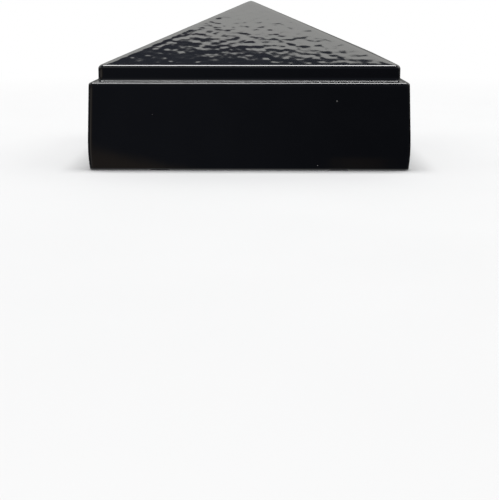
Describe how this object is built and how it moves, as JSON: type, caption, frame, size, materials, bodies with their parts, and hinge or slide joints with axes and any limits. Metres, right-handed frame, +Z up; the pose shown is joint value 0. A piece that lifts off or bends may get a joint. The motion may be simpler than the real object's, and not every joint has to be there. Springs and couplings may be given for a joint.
{
  "type": "fence post cap",
  "caption": "Low pyramid cap for a square fence post, with a stepped skirt, ribbed socket and clamping set screws in two sides.",
  "frame": {"origin": "centre of the rim plane, on the axis of the post, at the lowest edge of the skirt", "axes": "+Z up to the apex; -Y the front face; the set screws are in the -X (left) and +X (right) faces"},
  "size_m": [0.0752, 0.0752, 0.0387],
  "materials": {
    "powder_coated_casting": "gloss",
    "foam_rubber": "matte",
    "black_steel": "satin",
    "nylon": "satin"
  },
  "bodies": {
    "cap": {"cap_casting": "powder_coated_casting", "seat_gasket": "foam_rubber"},
    "pad_left": {"pressure_pad_left": "nylon"},
    "screw_left": {"set_screw_left": "black_steel"},
    "pad_right": {"pressure_pad_right": "nylon"},
    "screw_right": {"set_screw_right": "black_steel"}
  },
  "joints": [
    {"name": "pad_left_slide", "type": "slide", "parent": "cap", "child": "pad_left", "axis": [1, 0, 0], "range_m": [-0.0016, 0.0004]},
    {"name": "screw_left_turn", "type": "hinge", "parent": "pad_left", "child": "screw_left", "pos_m": [-0.0353, 0, 0.00825], "axis": [1, 0, 0], "range_deg": [-720, 180]},
    {"name": "pad_right_slide", "type": "slide", "parent": "cap", "child": "pad_right", "axis": [-1, 0, 0], "range_m": [-0.0016, 0.0004]},
    {"name": "screw_right_turn", "type": "hinge", "parent": "pad_right", "child": "screw_right", "pos_m": [0.0353, 0, 0.00825], "axis": [-1, 0, 0], "range_deg": [-720, 180]}
  ],
  "couplings": [
    {"joint": "screw_left_turn", "follows": "pad_left_slide", "rad_per_m": 7854},
    {"joint": "screw_right_turn", "follows": "pad_right_slide", "rad_per_m": 7854}
  ]
}
